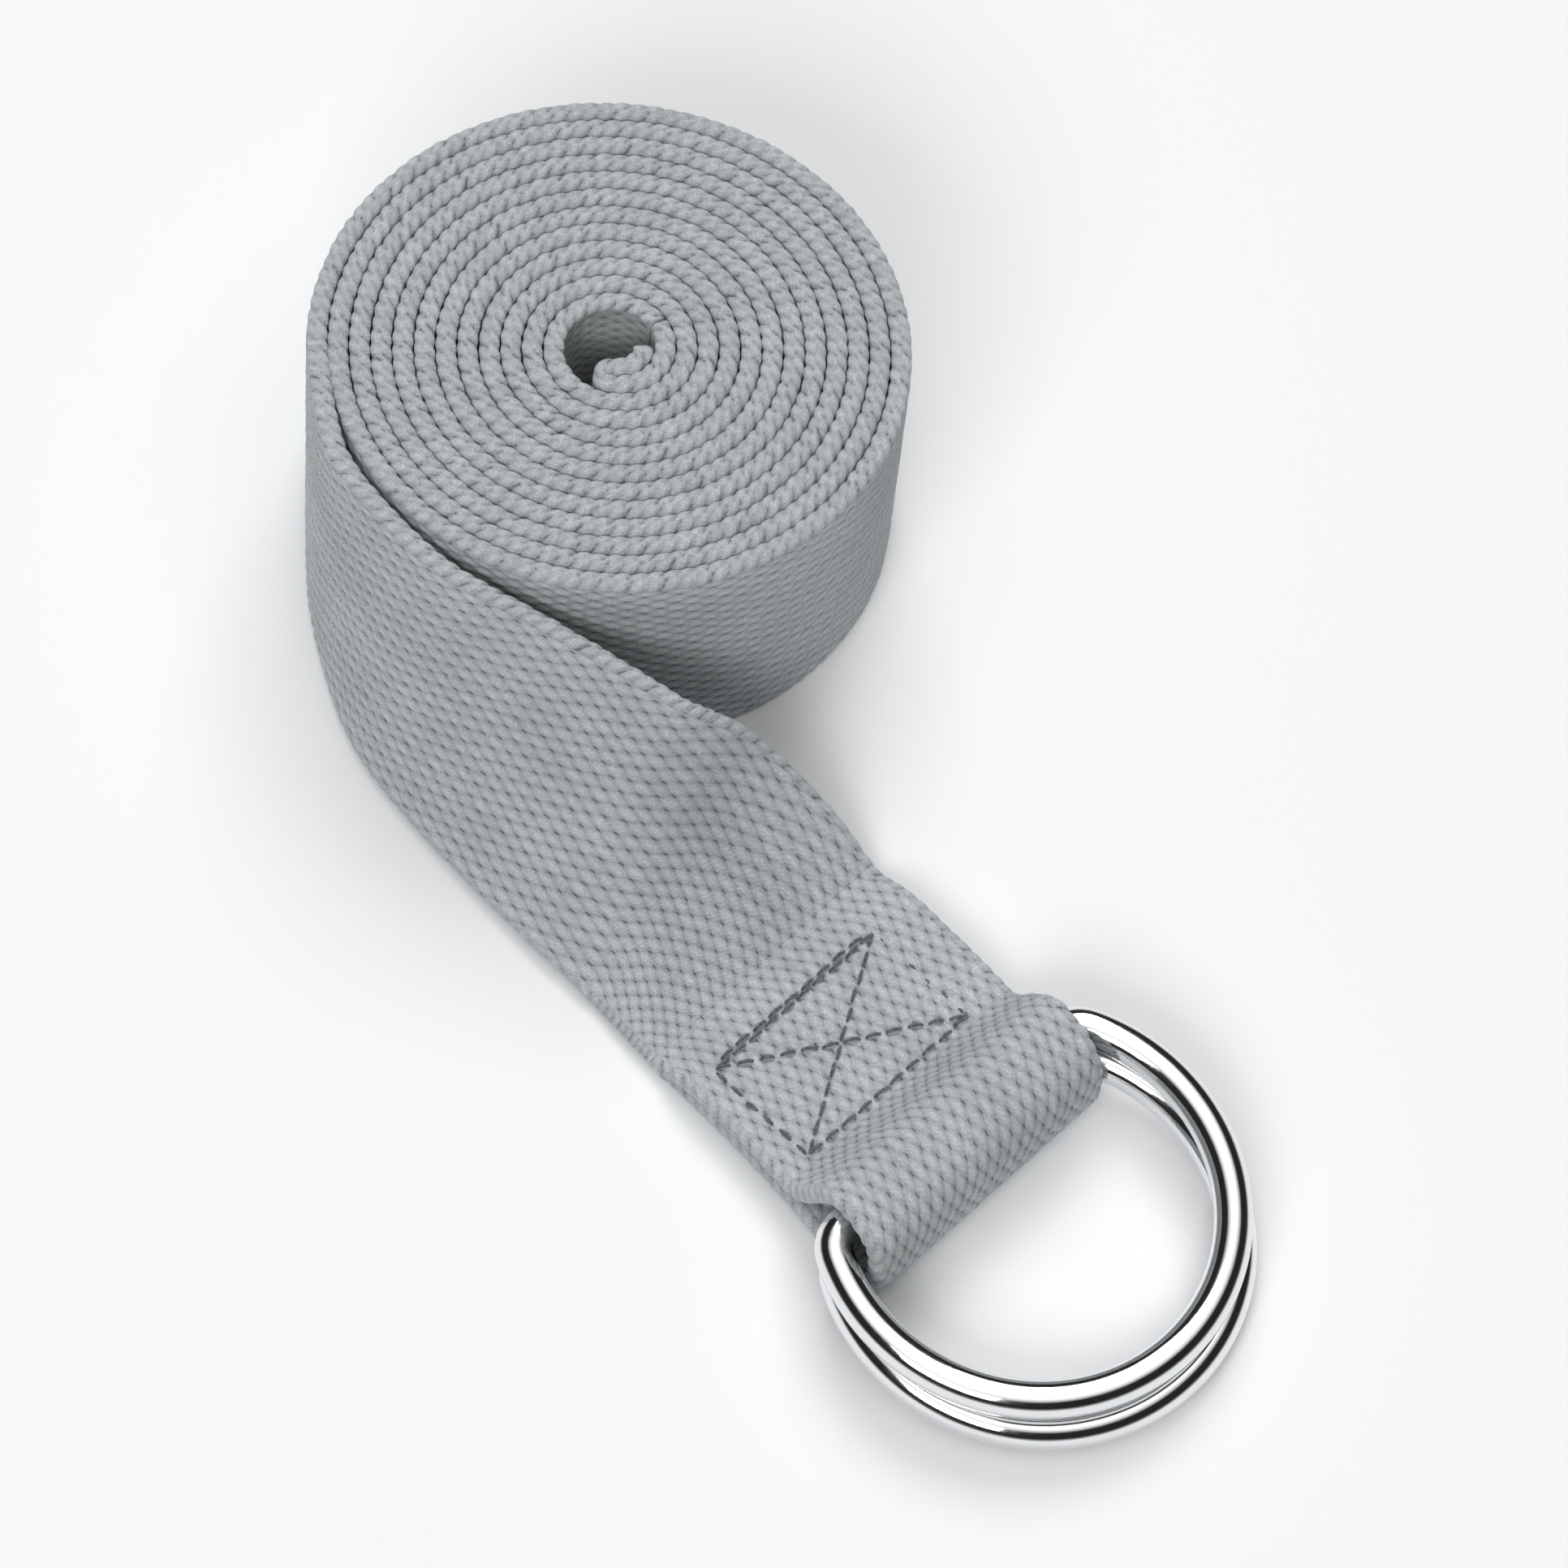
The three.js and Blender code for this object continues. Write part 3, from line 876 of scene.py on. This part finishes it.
def addStitch(start, end, up, index):
    run = end - start
    length = np.linalg.norm(run)
    along = run / length
    side = np.cross(up, along)

    def shaper(u, v):
        a = 2 * np.pi * v
        w = 2 * np.pi * threadShape["twist"] * u
        ply = np.abs(np.cos(a - w)) - threadShape["plyMiddle"]
        radius = threadShape["radius"] * (1 + threadShape["plies"] * ply)
        plump = np.sin(np.pi * np.clip(u, 0.02, 0.98)) ** 0.4
        radius = radius * (threadShape["endWidth"] + threadShape["midWidth"] * plump)
        rise = threadShape["arch"] * (np.sin(np.pi * u) ** 0.7 * 1.35 - 0.75)
        middle = start + along * (length * u)[:, None] + up * rise[:, None]
        ring = side * (radius * np.cos(a))[:, None] + up * (radius * np.sin(a))[:, None]
        return middle + ring + shift, {}

    return skinGrid(f"stitch_{index}", threadShape["grid"], threadShape["grid"], shaper)


def joinStitches(name, stitches, node):
    deselectAll()
    for piece in stitches:
        piece.select_set(True)
    bpy.context.view_layer.objects.active = stitches[0]
    bpy.ops.object.join()
    row = bpy.context.object
    row.name = name
    row.data.name = name
    finishPiece(row, sewingThread, "strap", "thread", node)


topLine = loopPoints()
topLine = topLine[:np.argmax(topLine[:, 0] >= upperBar[0])]


def clothTop(x):
    return np.interp(x, topLine[:, 0], topLine[:, 2]) + strapShape["thick"] / 2


def sewRow(name, node, ends, lift=0.0, passes=((0.0, 0.0),)):
    stitches = []
    up = np.array([0.0, 0, 1])
    for slip, sideways in passes:
        (ax, ay), (bx, by) = ends
        length = math.hypot(bx - ax, by - ay)
        count = max(2, round(length / threadShape["stitch"]))
        nx, ny = -(by - ay) / length * sideways, (bx - ax) / length * sideways
        for k in range(count):
            a = (k + slip + threadShape["gap"]) / count
            b = (k + slip + 1 - threadShape["gap"]) / count
            if b > 1:
                continue
            spots = []
            for w in (a, b):
                x, y = ax + (bx - ax) * w + nx, ay + (by - ay) * w + ny
                x = x + dice.normal(0, threadShape["wander"])
                y = y + dice.normal(0, threadShape["wander"])
                spots.append(np.array([x, y, clothTop(x) - 0.02 + lift]))
            stitches.append(addStitch(spots[0], spots[1], up, k))
    joinStitches(name, stitches, node)


nearRow = seamShape["midY"] - seamShape["half"]
farRow = seamShape["midY"] + seamShape["half"]
rearRow = seamShape["frontX"] - seamShape["length"]
frontRow = seamShape["frontX"]
sewRow("rear_row", "stitch_rear_row", ((rearRow, nearRow), (rearRow, farRow)), 0.05,
       ((0.0, -0.3), (0.5, 0.35)))
sewRow("front_row", "stitch_front_row", ((frontRow, nearRow), (frontRow, farRow)), 0.05)
sewRow("side_row_near", "stitch_side_near", ((rearRow, nearRow), (frontRow, nearRow)), -0.46)
sewRow("side_row_far", "stitch_side_far", ((rearRow, farRow), (frontRow, farRow)), -0.78)
sewRow("cross_row_a", "stitch_cross_a", ((rearRow, nearRow), (frontRow, farRow)), -0.1)
sewRow("cross_row_b", "stitch_cross_b", ((rearRow, farRow), (frontRow, nearRow)), -0.02)
print("box stitched")


def sewHem():
    low, high = boxMm("stitch_hem_row")
    x, y = (low[0] + high[0]) / 2 - shift[0], (low[1] + high[1]) / 2 - shift[1]
    centre = np.array(strapShape["rollCentre"])
    out = centre - [x, y]
    out = np.array([*(out / np.hypot(*out)), 0])
    count = threadShape["hemStitches"]
    step = (high[2] - low[2]) / count
    inset = out * threadShape["hemOut"]
    stitches = []
    for k in range(count):
        a = np.array([x, y, low[2] + step * (k + threadShape["hemGap"])]) - inset
        b = np.array([x, y, low[2] + step * (k + 1 - threadShape["hemGap"])]) - inset
        stitches.append(addStitch(a, b, out, k))
    joinStitches("hem_row", stitches, "stitch_hem_row")


sewHem()
print("hem stitched")


def ringLine():
    # middle line of the wire, from the middle of the bar all the way round
    reach = ringShape["bow"] - ringShape["corner"]
    cornerY = math.sqrt(reach ** 2 - (ringShape["bowCentre"] - ringShape["corner"]) ** 2)
    turn = math.atan2(cornerY, ringShape["corner"] - ringShape["bowCentre"])
    bar = np.array([[0.0, y] for y in np.linspace(0, cornerY, 30)[:-1]])
    a = np.linspace(math.pi, turn, 24)[:-1]
    corner = np.stack([1 + np.cos(a), np.sin(a)], 1) * ringShape["corner"] + [0, cornerY]
    a = np.linspace(turn, 0, 90)
    bow = np.stack([np.cos(a), np.sin(a)], 1) * ringShape["bow"] + [ringShape["bowCentre"], 0]
    half = np.vstack([bar, corner, bow])
    line = np.vstack([half, half[-2:0:-1] * [1, -1], half[:1]])
    length = runningLength(line)
    return resampled(line, length, np.linspace(0, length[-1], ringShape["steps"], endpoint=False))


def addRing(name, node, body, bar, yaw, drop):
    line = ringLine()
    count = len(line)
    deselectAll()
    bpy.ops.mesh.primitive_torus_add(
        major_segments=count, minor_segments=ringShape["wireSteps"], major_radius=1.0, minor_radius=0.1)
    ring = bpy.context.object
    ring.name = name
    ring.data.name = name
    flat = readPlaces(ring.data)
    around = np.round(np.arctan2(flat[:, 1], flat[:, 0]) / (2 * np.pi) * count).astype(int) % count
    out = (np.hypot(flat[:, 0], flat[:, 1]) - 1) / 0.1
    up = flat[:, 2] / 0.1
    order = (-around) % count
    ahead = unit(np.roll(line, -1, axis=0) - np.roll(line, 1, axis=0))
    side = np.stack([-ahead[:, 1], ahead[:, 0]], axis=1)
    radius = ringShape["wire"] / 2
    flatSpot = line[order] + side[order] * (out * radius)[:, None]
    spots = np.column_stack([flatSpot, up * radius])
    turn = Matrix.Rotation(math.radians(yaw), 3, "Z") @ Matrix.Rotation(drop, 3, "Y")
    spots = spots @ np.array(turn).T + [bar[0], ringShape["midY"], bar[1]] + shift
    ring.data.vertices.foreach_set("co", (spots * mm).ravel())
    bpy.ops.object.mode_set(mode="EDIT")
    bpy.ops.mesh.select_all(action="SELECT")
    bpy.ops.mesh.normals_make_consistent(inside=False)
    bpy.ops.object.mode_set(mode="OBJECT")
    bpy.ops.object.shade_smooth()
    finishPiece(ring, steel, body, "ring_steel", node)


ringReach = ringShape["bowCentre"] + ringShape["bow"]
fall = math.asin((lowerBar[1] - ringShape["wire"] / 2) / ringReach)     # the lower one reaches the floor
addRing("lower_d_ring", "d_ring_lower", "lower_ring", lowerBar, ringShape["lowerYaw"], fall)
addRing("upper_d_ring", "d_ring_upper", "upper_ring", upperBar, ringShape["upperYaw"], fall)
print("rings made")
